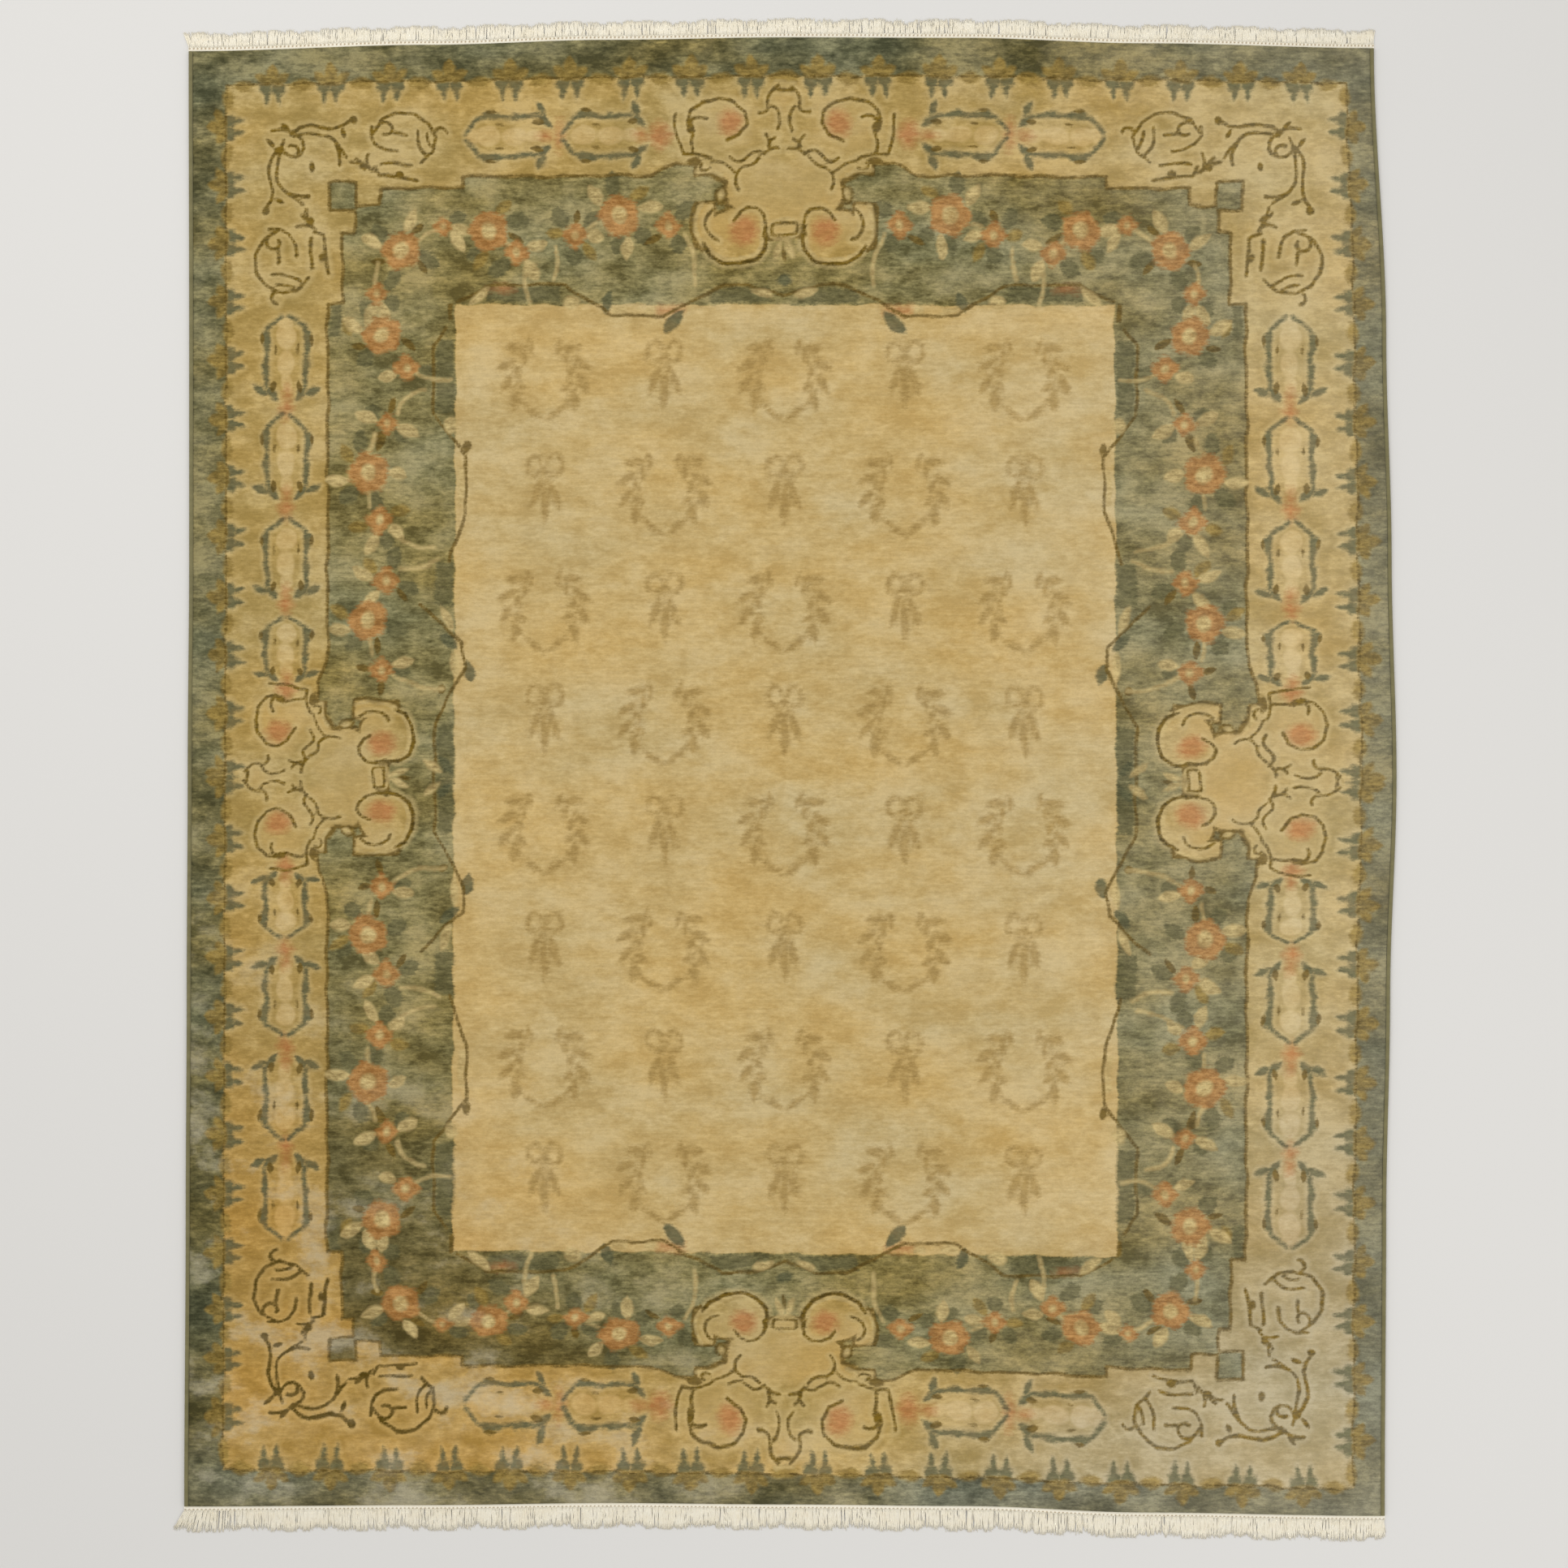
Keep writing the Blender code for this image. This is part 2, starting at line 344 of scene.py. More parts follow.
def arc(centre, radii, start, sweep, end_size=1.0):
    """Places along an oval arc, in degrees; its size goes evenly from 1 to end_size.

    A weaver counts a curve out in straight runs, so there is one place every 36 degrees or so.
    """
    t = np.linspace(0, 1, 2 + int(abs(sweep) / 36))
    angle, size = np.radians(start + sweep * t), 1 + (end_size - 1) * t
    return np.stack((centre[0] + radii[0] * size * np.cos(angle),
                     centre[1] + radii[1] * size * np.sin(angle)), -1)


def wave(start, end, swell=0, bends=1):
    """Places from start to end, swung to the left of the way by swell times sin(pi bends t)."""
    t = np.linspace(0, 1, 7)[:, None]
    start, end = np.array(start, float), np.array(end, float)
    left = np.array((start[1] - end[1], end[0] - start[0])) / np.hypot(*(end - start))
    return start + (end - start) * t + left * swell * np.sin(np.pi * bends * t)


def stroke(*runs, width=7, dye="dark"):
    """One drawn line through the given runs of places, one after the other."""
    return (dye, line, np.concatenate(runs), width)


def each(dye, shape, *rows):
    """The same shape in the same dye for each row of sizes."""
    return [(dye, shape, *row) for row in rows]


def both_sides(motif):
    """A motif with each of its shapes also drawn mirrored, left to right."""
    mirrored = []
    for dye, shape, *sizes in motif:
        places = 2 if shape in (leaf, block) else 1
        flipped = [np.array(place) * (-1, 1) for place in sizes[:places]]
        mirrored.append((dye, shape, *flipped, *sizes[places:]))
    return (*motif, *mirrored)


def shape_box(shape, sizes):
    """Two corners of the box in which a shape is nearer than REACH."""
    if shape is line:
        points, grown = sizes[0], sizes[1] / 2
    elif shape is leaf:
        points, grown = sizes[:2], sizes[2] / 2
    elif shape is block:
        points, grown = sizes, 0
    else:
        points, grown = sizes[:1], 1.3 * np.max(sizes[1])
    return np.min(points, 0) - grown - REACH, np.max(points, 0) + grown + REACH


# The drawing isn't woven true; these are in millimetres. Its middle lies to the left and nearer
# than the rug's, both side guards stand further right than that, its rows slope down to the right,
# and the near border's lines were woven late, most over the left half, so they lie further in.
PATTERN_MIDDLE = (-4, -5)
GUARDS_RIGHT = 10
ROW_SLOPE = 5.0
SLOPE_EASE = 3.4
NEAR_LIFT = 28
LIFTED = (-1408, -1080)
RIGHT_LIFT_LOSS = 0.75
# How the weaver's hand wanders. Columns: how far, wavelength across, wavelength along, start
HAND = ((1.4, 420, 96, 0.4), (1.1, 88, 260, 2.1), (0.8, 57, 61, 4.0))
# A square's corner lies this many times further out than its side
DIAGONAL = 1.42


class Cartoon:
    """The weaver's drawing at given places, in millimetres from the pattern's middle.

    The guards' shift grows as the fourth power of the way out, the near border's lift is a half
    sine over its rows, and the hand's wander is a sum of sines. x and y are the places in one
    quarter, as the design mirrors about both middle lines. dyes holds how far each place lies
    outside each dye's shapes, negative inside them.
    """

    def __init__(self, across, along):
        x, y = across * 1000, along * 1000
        rise = np.clip((y - LIFTED[0]) / (LIFTED[1] - LIFTED[0]), 0, 1)
        lift = NEAR_LIFT * np.sin(np.pi * rise) * (1 - RIGHT_LIFT_LOSS * np.clip(across / 0.9, 0, 1) ** 2)
        guards = GUARDS_RIGHT * np.clip(np.abs(x) / GUARD[0], 0, 1.1) ** 4
        self.across = x - PATTERN_MIDDLE[0] - guards
        self.along = y - PATTERN_MIDDLE[1] + across * (ROW_SLOPE - SLOPE_EASE * along) - lift
        for far, wide, deep, start in HAND:
            self.across += far * np.sin(2 * np.pi * (x / wide + y / deep) + start)
            self.along += far * np.cos(2 * np.pi * (y / wide - x / deep) + start)
        self.x, self.y = np.abs(self.across), np.abs(self.along)
        self.dyes = {dye: np.full(across.shape, REACH) for dye in DYES}

    def place(self, motif, centre=(0, 0), turn=0, flip=1, stretch=(1, 1), mirrored=True):
        """Draws a motif round a centre, turned anticlockwise by degrees, in all four quarters."""
        x, y = (self.x, self.y) if mirrored else (self.across, self.along)
        boxes = [shape_box(shape, sizes) for _, shape, *sizes in motif]
        far = max(np.abs(box).max() for box in boxes) * max(stretch) * DIAGONAL
        near = np.flatnonzero((np.abs(x - centre[0]) < far) & (np.abs(y - centre[1]) < far))
        angle = np.radians(turn)
        dx, dy = x[near] - centre[0], y[near] - centre[1]
        u = (dx * np.cos(angle) + dy * np.sin(angle)) * flip / stretch[0]
        v = (dy * np.cos(angle) - dx * np.sin(angle)) / stretch[1]
        for (dye, shape, *sizes), (low, high) in zip(motif, boxes):
            inside = (u > low[0]) & (u < high[0]) & (v > low[1]) & (v < high[1])
            at = near[inside]
            self.dyes[dye][at] = np.minimum(self.dyes[dye][at], shape(u[inside], v[inside], *sizes))


# Where the borders meet: half sizes across and along. The field is wider at the near end
GUARD = (1147, 1416)
BAND = (931, 1220)
FIELD = (672, 962)
FIELD_TAPER = 3.7
# Half widths of the thin lines along the band's edge and between the borders
BAND_LINE = 3.6
GUARD_LINE = 2.0
# The band's edge steps in near its corners. Rectangles of beige cut out of it
BAND_STEPS = (
    ((652, 1198), (960, 1260)), ((821, 1163), (960, 1260)),
    ((876, 1107), (960, 1260)), ((900, 964), (960, 1260)),
)
BAND_SQUARE = ((874, 1156), (926, 1211))
# Beside each medallion the band's edge rises outwards: where it starts, where it ends, how far
TOP_RISE = (270, 220, 24)
SIDE_RISE = (238, 192, 20)
# The medallion's beige body laid over the band, sideways and outwards from the band's edge
MEDALLION_BODY = (
    (oval, (100, -120), (66, 58)), (block, (140, -146), (184, -52)), (oval, (0, -36), (124, 70)),
    (block, (-118, -60), (118, 6)), (block, (-32, -126), (32, -60)), (block, (-182, 2), (182, 45)),
    (oval, (0, 10), (150, 40)),
)
SIDE_MEDALLION_STRETCH = (0.85, 1.0)


def draw_grounds(drawing):
    """Lays the large zones: outer green, vine band with its steps, medallion bodies, and field."""
    x, y = drawing.x, drawing.y
    guard = np.maximum(x - GUARD[0], y - GUARD[1])
    drawing.dyes["moss"] = -guard
    start, end, rise = TOP_RISE
    top = y - BAND[1] - rise * np.clip((start - x) / (start - end), 0, 1)
    start, end, rise = SIDE_RISE
    side = x - BAND[0] - rise * np.clip((start - y) / (start - end), 0, 1)
    band = np.maximum(top, side)
    for low, high in BAND_STEPS:
        band = np.maximum(band, -block(x, y, low, high))
    band = np.minimum(band, block(x, y, *BAND_SQUARE))
    for u, v in ((x, y - BAND[1]), (y / SIDE_MEDALLION_STRETCH[0], x - BAND[0])):
        body = np.full(x.shape, 4 * REACH)
        for shape, *sizes in MEDALLION_BODY:
            body = np.minimum(body, shape(np.abs(u), v, *sizes))
        band = np.maximum(band, -body)
    half_width = FIELD[0] - FIELD_TAPER * drawing.along / FIELD[1]
    field = np.maximum(x - half_width, y - FIELD[1])
    drawing.dyes["sage"] = np.maximum(band, -field)
    drawing.dyes["ground"] = field
    drawing.dyes["olive"] = np.minimum(np.abs(band - 1) - BAND_LINE, np.abs(guard) - GUARD_LINE)


# Guard sprigs stand on the line between the borders: a gold trefoil on the green, grey leaves
# hanging over the beige, and between two sprigs a gold half oval.
GUARD_SPRIG = both_sides((
    *each("gold", leaf, ((0, 0), (0, 42), 28), ((6, 2), (36, 20), 20)),
    *each("gold", oval, ((10, 6), (16, 10)), ((61, -3), (21, 12))),
    ("slate", block, (0, -16), (28, 0)),
    ("slate", oval, (14, -13), (13, 9)),
    ("slate", leaf, (12, -10), (14, -42), 12),
))
END_SPRIGS = tuple(68 + 122.5 * number for number in range(9))
SIDE_SPRIGS = tuple(8 + 120 * number for number in range(12))
SIDE_SPRIG_STRETCH = (0.97, 1)

# Each corner has a ringed knot, and from it a curling branch runs along either border to a
# cloud roundel. Sideways and outwards from the knot; the other half is its mirror image.
CORNER_KNOT_AT = (1015, 1290)
CORNER_KNOT = (
    stroke(arc((10, -4), (25, 24), 140, 280)),
    stroke(arc((8, -14), (14, 11), 120, -150), width=8.5),
    stroke(wave((18, 20), (-34, 30), -6)),
    *each("dark", oval, ((-20, -10), (9, 9)), ((50, -45), (7, 10))),
)
CORNER_BRANCH = (
    stroke(wave((8, 22), (134, 50), 10, 2), width=8),
    stroke(wave((14, 17), (122, -28), 26)),
    stroke(wave((98, 4), (106, -44), 5), width=8),
    *each("dark", leaf, ((112, 30), (122, 8), 11), ((6, 26), (-16, 45), 10)),
    stroke(wave((130, -36), (176, -58), 6)),
    stroke(wave((143, -28), (158, -52), 4)),
    stroke(wave((168, -20), (170, -52), -4)),
    *each("dark", oval, ((136, 48), (8, 9)), ((157, -46), (9, 8))),
)
ROUNDEL_ALONG = 240
CLOUD_ROUNDEL = (
    stroke(arc((0, 6), (67, 56), 165, -222)),
    stroke(arc((-20, 24), (50, 40), 165, 115)),
    stroke(arc((-38, 27), (20, 16), 130, -250, 0.6)),
    stroke(wave((-20, 20), (4, 18))),
    stroke(wave((28, 28), (46, -26), -9)),
    stroke(wave((48, 20), (56, -10), -3)),
    stroke(arc((77, 20), (12, 11), 150, -150)),
    stroke(wave((-48, -43), (17, -45), 2)),
    stroke(wave((-60, -48), (-52, -67)), wave((-50, -68), (28, -75), 4)),
    ("dark", oval, (-8, -62), (10, 7)),
)
SIDE_ROUNDEL_STRETCH = (0.97, 1.13)

# Brackets of leafy strokes, with pale blossoms inside, stand end to end along the main border.
BRACKET = both_sides((
    stroke(wave((7, 88), (38, 64)), width=9, dye="slate"),
    stroke(wave((41, 60), (41, -58)), width=10, dye="slate"),
    *each("slate", oval, ((45, 46), (9, 11)), ((44, -14), (7, 9))),
    *each("slate", leaf, ((45, 56), (42, 8), 15), ((43, -6), (41, -48), 13),
          ((38, -74), (72, -58), 16), ((42, -58), (18, -88), 16)),
    *each("olive", leaf, ((27, -46), (30, -72), 13), ((54, 52), (52, 26), 9), ((24, 30), (24, 8), 6)),
    *each("ground", oval, ((0, 44), (21, 26)), ((0, -12), (18, 28)), ((0, -52), (13, 18))),
    ("rose", oval, (0, -76), (8, 13)),
))
BRACKET_HOOD = both_sides((
    ("ground", oval, (0, 72), (16, 16)),
))
# Columns: middle and length of each bracket; place, width and length of each blossom between
END_BRACKETS = ((560, 172), (365, 170))
SIDE_BRACKETS = ((853, 172), (650, 170), (444, 162), (259, 132))
BRACKET_LENGTH = 174
END_BRACKET_WIDTH = 0.95
END_BRACKET_ROW = 1302
SIDE_BRACKET_ROW = 1019
END_BLOSSOMS = ((456, 26, 8), (252, 30, 20))
SIDE_BLOSSOMS = ((750, 12, 20), (548, 14, 20), (350, 13, 18), (180, 16, 18))


def blossom(wide, long):
    """Four petals as wide as the lesser half size, over an oval a little less than the whole."""
    return (("rose", bloom, (0, 0), min(wide, long), 4, 0.2),
            ("rose", oval, (0, 0), (wide * 0.8, long * 0.9)))


# A scroll medallion stands on the middle of each border: a crowned bell between two volutes, and
# under it two rounded lobes. Sideways and outwards from the band's edge, the crown outwards.
MEDALLION = both_sides((
    ("faded", oval, (66, -50), (110, 96)),
    ("faded", oval, (124, 98), (72, 50)),
    stroke(arc((136, 110), (60, 43), 252, -290), wave((184, 84), (186, 50), 3)),
    stroke(arc((172, 104), (20, 15), 130, -190)),
    ("dark", oval, (189, 97), (8, 12)),
    stroke(wave((222, 122), (211, 52), 4), wave((208, 44), (150, 36), -4)),
    ("olive", oval, (184, 30), (16, 9)),
    stroke(arc((160, 20), (11, 8), 60, -220), width=6),
    stroke(wave((148, 30), (102, 8), -5), width=6),
    stroke(wave((178, 12), (126, 1), -4), width=8, dye="cream"),
    stroke(wave((112, 38), (40, 42), 9, 2)),
    stroke(wave((38, 46), (10, 56), -3)),
    stroke(wave((38, 82), (30, 56), -3)),
    stroke(wave((18, 76), (33, 57), 3)),
    stroke(wave((50, 36), (84, 20), -6), arc((78, -6), (22, 26), 70, -120)),
    ("gold", leaf, (120, -24), (134, -56), 20),
    ("cream", leaf, (124, -26), (131, -48), 12),
    stroke(arc((128, -40), (11, 15), 70, -200), width=5.5, dye="olive"),
    stroke(wave((12, 176), (32, 136), 8), wave((33, 131), (54, 126), -3)),
    stroke(wave((14, 169), (0, 169))),
    stroke(arc((26, 112), (17, 27), 100, 130), width=6.5),
    ("faded", oval, (0, 148), (22, 20)),
    stroke(wave((18, 184), (0, 181)), width=6, dye="cream"),
    stroke(arc((70, -98), (33, 36), 15, 200), arc((100, -132), (65, 46), 165, 190)),
    stroke(arc((100, -132), (56, 37), 170, 160), width=6, dye="cream"),
    stroke(arc((134, -95), (27, 32), 60, -150)),
    stroke(wave((186, -60), (169, -150), 10), dye="olive"),
    stroke(wave((170, -56), (168, -138), 12), dye="cream"),
    stroke(wave((0, -93), (21, -93)), wave((25, -97), (23, -117)), wave((22, -117), (0, -117)), width=6.5),
    stroke(arc((0, -106), (31, 21), 90, -180), width=6.5, dye="cream"),
    ("cream", leaf, (3, -128), (20, -168), 15),
    ("olive", oval, (0, -158), (5, 13)),
    ("rose", oval, (110, 104), (24, 25)),
    ("rose", oval, (82, -110), (26, 27)),
))

# The vine, drawn in one quarter. Columns: across, along, flower's radius, and its leaves charted
# round a clock face from the right anticlockwise, an hour to a letter. A letter stands for a leaf's
# dye, length and width.
LEAF_DYES = {"c": ("cream", 46, 25), "s": ("shade", 44, 34), "o": ("olive", 36, 15), "g": ("gold", 42, 24)}
VINE_SPRAYS = (
    (780, 1072, 39, "cs.co.so.s.o"), (695, 1122, 19, ".....scc...."),
    (600, 1112, 40, "....gso..gs."), (545, 1067, 24, ".....c.c..s."),
    (425, 1102, 24, "gs.os.cg.s.."), (335, 1142, 42, ".cs.gc.scs.."),
    (235, 1122, 25, "....s...s.o."), (830, 985, 21, ".......sccs."),
    (820, 900, 39, "c.....o...so"), (770, 835, 26, "......s....c"),
    (810, 720, 21, "cs.o..cs.oo."), (848, 620, 42, ".gs...c.s.sc"),
    (825, 525, 27, ".....g.csc.g"), (810, 400, 26, "cg.s..so..c."),
    (848, 320, 40, "gs....s.o.sc"), (820, 220, 24, "o....cs..o.."),
)
BIG_FLOWER = 30
# Columns: petals, how deep they are cut, and as shares of the radius the flower's size and its
# heart's half width and half length
BIG_BLOOM = (5, 0.06, 0.97, 0.38, 0.42)
SMALL_BLOOM = (4, 0.12, 0.95, 0.30, 0.36)
LEAF_SWEEP = 14
LEAF_WANDER = 8
LEAF_UNEVEN = 0.15
LEAF_TUCK = 2
# Pale stems. Columns: start, end, swing
VINE_STEMS = (
    ((745, 1090), (700, 1115), -6), ((828, 1045), (834, 1000), 4), ((524, 1044), (517, 966), 5),
    ((463, 1076), (469, 1012), -4), ((202, 1104), (181, 1000), -9), ((752, 822), (680, 812), 8),
    ((788, 740), (732, 788), -14), ((833, 696), (849, 660), -4), ((846, 580), (848, 552), 0),
    ((803, 502), (712, 466), 10), ((784, 427), (704, 446), 8), ((846, 282), (842, 248), 0),
    ((797, 210), (692, 182), 10), ((575, 1098), (556, 1082), 0), ((380, 1126), (400, 1116), 0),
)
STEM_WIDTH = 8


def vine_spray(radius, chart):
    """A flower and its leaves, each leaf swept forwards and wandering a little from its hour."""
    motif = []
    for hour, letter in enumerate(chart):
        if letter in LEAF_DYES:
            dye, length, width = LEAF_DYES[letter]
            wander = np.sin(2.1 * hour + radius)
            start = np.radians(30 * hour + LEAF_WANDER * wander)
            ahead = start + np.radians(LEAF_SWEEP)
            near = radius - LEAF_TUCK
            far = near + length * (1 + LEAF_UNEVEN * wander)
            motif.append((dye, leaf, (near * np.cos(start), near * np.sin(start)),
                          (far * np.cos(ahead), far * np.sin(ahead)), width))
    petals, depth, size, wide, long = BIG_BLOOM if radius > BIG_FLOWER else SMALL_BLOOM
    motif.append(("coral", bloom, (0, 0), radius * size, petals, depth))
    motif.append(("heart", oval, (0, 0), (radius * wide, radius * long)))
    return motif


# The frame along the field's edge: an ochre line that steps in and out of it, with a dusky strip
# where it stands out, and small leaves at its turns.
FRAME_LINES = (
    ((0, 978), (70, 1002), (125, 1002), (245, 940), (350, 940), (445, 1002), (600, 1002), (665, 968)),
    ((688, 915), (713, 880), (713, 740), (647, 655), (647, 545), (682, 440)),
    ((740, 352), (656, 275), (650, 225), (711, 110), (711, 0)),
)
FRAME_WIDTH = 7
FRAME_DETAILS = (
    *each("shade", block, ((456, 968), (604, 998)), ((672, 744), (708, 892)), ((672, 352), (712, 440)),
          ((30, 966), (150, 996)), ((672, 0), (706, 110)), ((905, 896), (927, 962))),
    *each("cream", leaf, ((598, 1000), (642, 962), 20), ((20, 978), (68, 994), 17),
          ((700, 352), (676, 298), 20), ((674, 262), (668, 200), 19), ((735, 37), (696, 8), 15)),
    *each("cream", oval, ((431, 968), (18, 15)), ((678, 718), (14, 17))),
    *each("cream", block, ((318, 944), (352, 958)), ((262, 944), (282, 958)), ((651, 556), (662, 630))),
    *each("slate", leaf, ((204, 950), (246, 902), 28), ((352, 990), (366, 944), 24),
          ((646, 236), (638, 196), 26), ((698, 296), (664, 262), 24), ((704, 42), (676, 10), 18)),
    *each("olive", oval, ((645, 672), (8, 12)), ((695, 181), (9, 9))),
    ("slate", oval, (0, 1010), (16, 12)), ("rose", oval, (572, 994), (16, 6)),
    ("rose", block, (206, 944), (256, 958)), ("olive", block, (672, 928), (682, 964)),
    ("gold", leaf, (900, 934), (884, 898), 22),
)

# The field's sprigs, in rows: a laurel open at the top and a tied bow by turns.
LAUREL_OUTER = (-26, 2, 30, 58)
LAUREL_INNER = (-14, 18, 50)


def ring_leaf(turn, near, far, sweep, width):
    """A leaf from a ring of one radius to a ring of another, round by the sweep in degrees."""
    start, end = np.radians(turn), np.radians(turn + sweep)
    return ("tan", leaf, (near * np.cos(start), near * np.sin(start)),
            (far * np.cos(end), far * np.sin(end)), width)


LAUREL = both_sides((
    *(ring_leaf(turn, 64, 98, -24, 19) for turn in LAUREL_OUTER),
    *(ring_leaf(turn, 64, 48, -28, 15) for turn in LAUREL_INNER),
    *each("tan", leaf, ((0, -94), (46, -60), 14), ((44, -64), (66, -28), 12), ((34, 76), (25, 40), 13)),
))
BOW = both_sides((
    stroke(arc((20, 47), (15, 20), 225, 300), width=9, dye="tan"),
    ("tan", oval, (0, 34), (10, 10)),
    *each("tan", leaf, ((6, 24), (31, -42), 18), ((0, 18), (0, -74), 19)),
))
FIELD_ROWS = (820, 588, 350, 121, -101, -340, -579, -809)
FIELD_COLUMNS = (-487, -244, 0, 244, 486)


def draw(drawing):
    """The whole design: grounds, guard sprigs, corners, brackets, medallions, vine, frame, field."""
    draw_grounds(drawing)
    put = drawing.place
    for across in END_SPRIGS:
        put(GUARD_SPRIG, (across, GUARD[1]))
    for along in SIDE_SPRIGS:
        put(GUARD_SPRIG, (GUARD[0], along), turn=-90, stretch=SIDE_SPRIG_STRETCH)
    across, along = CORNER_KNOT_AT
    put(CORNER_KNOT, CORNER_KNOT_AT, flip=-1)
    put(CORNER_BRANCH, CORNER_KNOT_AT, flip=-1)
    put(CORNER_BRANCH, CORNER_KNOT_AT, turn=-90)
    put(CLOUD_ROUNDEL, (across - ROUNDEL_ALONG, along), flip=-1)
    put(CLOUD_ROUNDEL, (across, along - ROUNDEL_ALONG), turn=-90, stretch=SIDE_ROUNDEL_STRETCH)
    for along, length in SIDE_BRACKETS:
        put(BRACKET, (SIDE_BRACKET_ROW, along), stretch=(1, length / BRACKET_LENGTH))
    put(BRACKET_HOOD, (SIDE_BRACKET_ROW, SIDE_BRACKETS[0][0]))
    for across, length in END_BRACKETS:
        stretch = (END_BRACKET_WIDTH, length / BRACKET_LENGTH)
        put(BRACKET, (across, END_BRACKET_ROW), turn=-90, stretch=stretch)
    put(BRACKET_HOOD, (END_BRACKETS[0][0], END_BRACKET_ROW), turn=-90)
    for along, wide, long in SIDE_BLOSSOMS:
        put(blossom(wide, long), (SIDE_BRACKET_ROW, along))
    for across, wide, long in END_BLOSSOMS:
        put(blossom(wide, long), (across, END_BRACKET_ROW), turn=90)
    put(MEDALLION, (0, BAND[1]))
    put(MEDALLION, (BAND[0], 0), turn=-90, stretch=SIDE_MEDALLION_STRETCH)
    for across, along, radius, chart in VINE_SPRAYS:
        put(vine_spray(radius, chart), (across, along))
    put([stroke(wave(*run), width=STEM_WIDTH, dye="cream") for run in VINE_STEMS])
    put([stroke(run, width=FRAME_WIDTH, dye="olive") for run in FRAME_LINES])
    put(FRAME_DETAILS)
    for row, along in enumerate(FIELD_ROWS):
        for column, across in enumerate(FIELD_COLUMNS):
            put(BOW if (row + column) % 2 else LAUREL, (across, along), mirrored=False)


SHOULDER = 0.005
SHOULDER_DROP = 0.0035


def clipped_face(x, y):
    """Pile height at true-rectangle places: the uneven face, rounded down over the outer 5 mm."""
    real_x, real_y = laid_out(x, y)
    inside = np.minimum(HALF_WIDTH - np.abs(x), HALF_LENGTH - np.abs(y))
    over = np.clip(1 - inside / SHOULDER, 0, 1)
    return face_height(real_x, real_y) - SHOULDER_DROP * (1 - np.sqrt(1 - over**2))


# Dyes in linear colour. The three large zones each run from dark over middle to light in patches
MOSS = ((0.068, 0.064, 0.026), (0.146, 0.132, 0.057), (0.275, 0.240, 0.106))
SAGE = ((0.108, 0.090, 0.029), (0.220, 0.187, 0.072), (0.340, 0.280, 0.116))
BEIGE = ((0.325, 0.222, 0.064), (0.405, 0.282, 0.092), (0.525, 0.382, 0.146))
GROUND = ((0.465, 0.322, 0.120), (0.530, 0.385, 0.160), (0.595, 0.448, 0.205))
PALE = (0.54, 0.41, 0.18)
FADED = (0.50, 0.345, 0.125)
# Columns: dye, dark and light colour, half width of its soft edge in mm, how ragged, how strong
SMALL_DYES = (
    ("shade", (0.085, 0.080, 0.034), (0.135, 0.124, 0.054), 3.6, 16, 0.82),
    ("rose", (0.370, 0.140, 0.043), (0.465, 0.208, 0.074), 10.0, 24, 0.90),
    ("slate", (0.062, 0.066, 0.032), (0.115, 0.114, 0.055), 3.2, 11, 0.92),
    ("gold", (0.185, 0.120, 0.024), (0.310, 0.210, 0.052), 3.4, 14, 0.85),
    ("olive", (0.090, 0.056, 0.009), (0.165, 0.106, 0.021), 1.8, 5, 0.95),
    ("cream", (0.400, 0.290, 0.115), (0.570, 0.440, 0.195), 2.8, 14, 0.88),
    ("coral", (0.340, 0.147, 0.036), (0.465, 0.240, 0.080), 4.0, 28, 0.93),
    ("heart", (0.430, 0.310, 0.120), (0.600, 0.480, 0.215), 3.4, 12, 0.90),
    ("dark", (0.062, 0.039, 0.003), (0.190, 0.118, 0.014), 1.8, 3, 1.00),
    ("tan", (0.275, 0.175, 0.050), (0.375, 0.248, 0.082), 4.5, 10, 0.78),
)
# A zone's soft edge. Columns: half width in mm, how ragged, and how strong where it isn't full.
# Each knot shifts it by up to half a millimetre
MOSS_EDGE = (2.5, 14)
SAGE_EDGE = (1.8, 8)
GROUND_EDGE = (2.5, 6)
FADED_EDGE = (15, 20, 0.55)
KNOT_SHIFT = 0.5
# The unevenness is cloud, mottle and fleck by these shares; a dye is dark, middle, light at PATCHES
MOTTLE_SHARE = 0.75
FLECK_SHARE = 0.45
PATCHES = (0.91, 1.09, 1.27)
# Changes of tone. Columns: where each starts and ends, and its strength there. Halos go by
# millimetres outside a shape, clouds, worn patches, drift, wear and depth by noise, others by metres
DARK_HALO = (11, 3, 0, 0.45)
LEAF_HALO = (10, 3, 0, 0.40)
DRIFT = (0.36, 0.64)
WEAR = (0.3, 0.6, 0.72, 1.0)
DEPTH = (0.85, 1.15)
NEAR_END = (-1.34, -1.44)
LEFT_CORNER = (-1.2, -1.9)
RIGHT_CORNER = (-1.5, -2.15)
# The veils are painted sheen, pale where the pile leans away from the eye
VEIL_RIGHT = (0.2, 1.25, 0, 0.26)
VEIL_NEAR = (-1.1, -1.5, 0, 0.10)
VEIL_CLOUDS = (0.35, 0.65, -0.08, 0.10)
VEIL_WORN = (0.53, 0.66, 0, 0.45)
# Painted sheen: the beige and field grow lighter towards the right and near sides
SHEEN_LIFT_RIGHT = (0.3, 1.1, 0, 0.17)
SHEEN_LIFT_NEAR = (-1.1, -1.4, 0, 0.14)
VEIL_UNDER = 0.75
VEIL_OVER = 0.25
# How strongly each shows in the wool's grain
FLECK_GRAIN = 0.75
ROW_GRAIN = 0.55
KNOT_GRAIN = 0.07
# On beige and on green: strength of the warm and cool tints, and of the grain
TINTING = (0.35, 0.8)
GRAIN = (0.42, 1.0)
PILE_BUMP = 0.0009
PILE_BUMP_STRENGTH = 0.7
SEEN_ASLANT = (0.45, 0.41, 0.30)
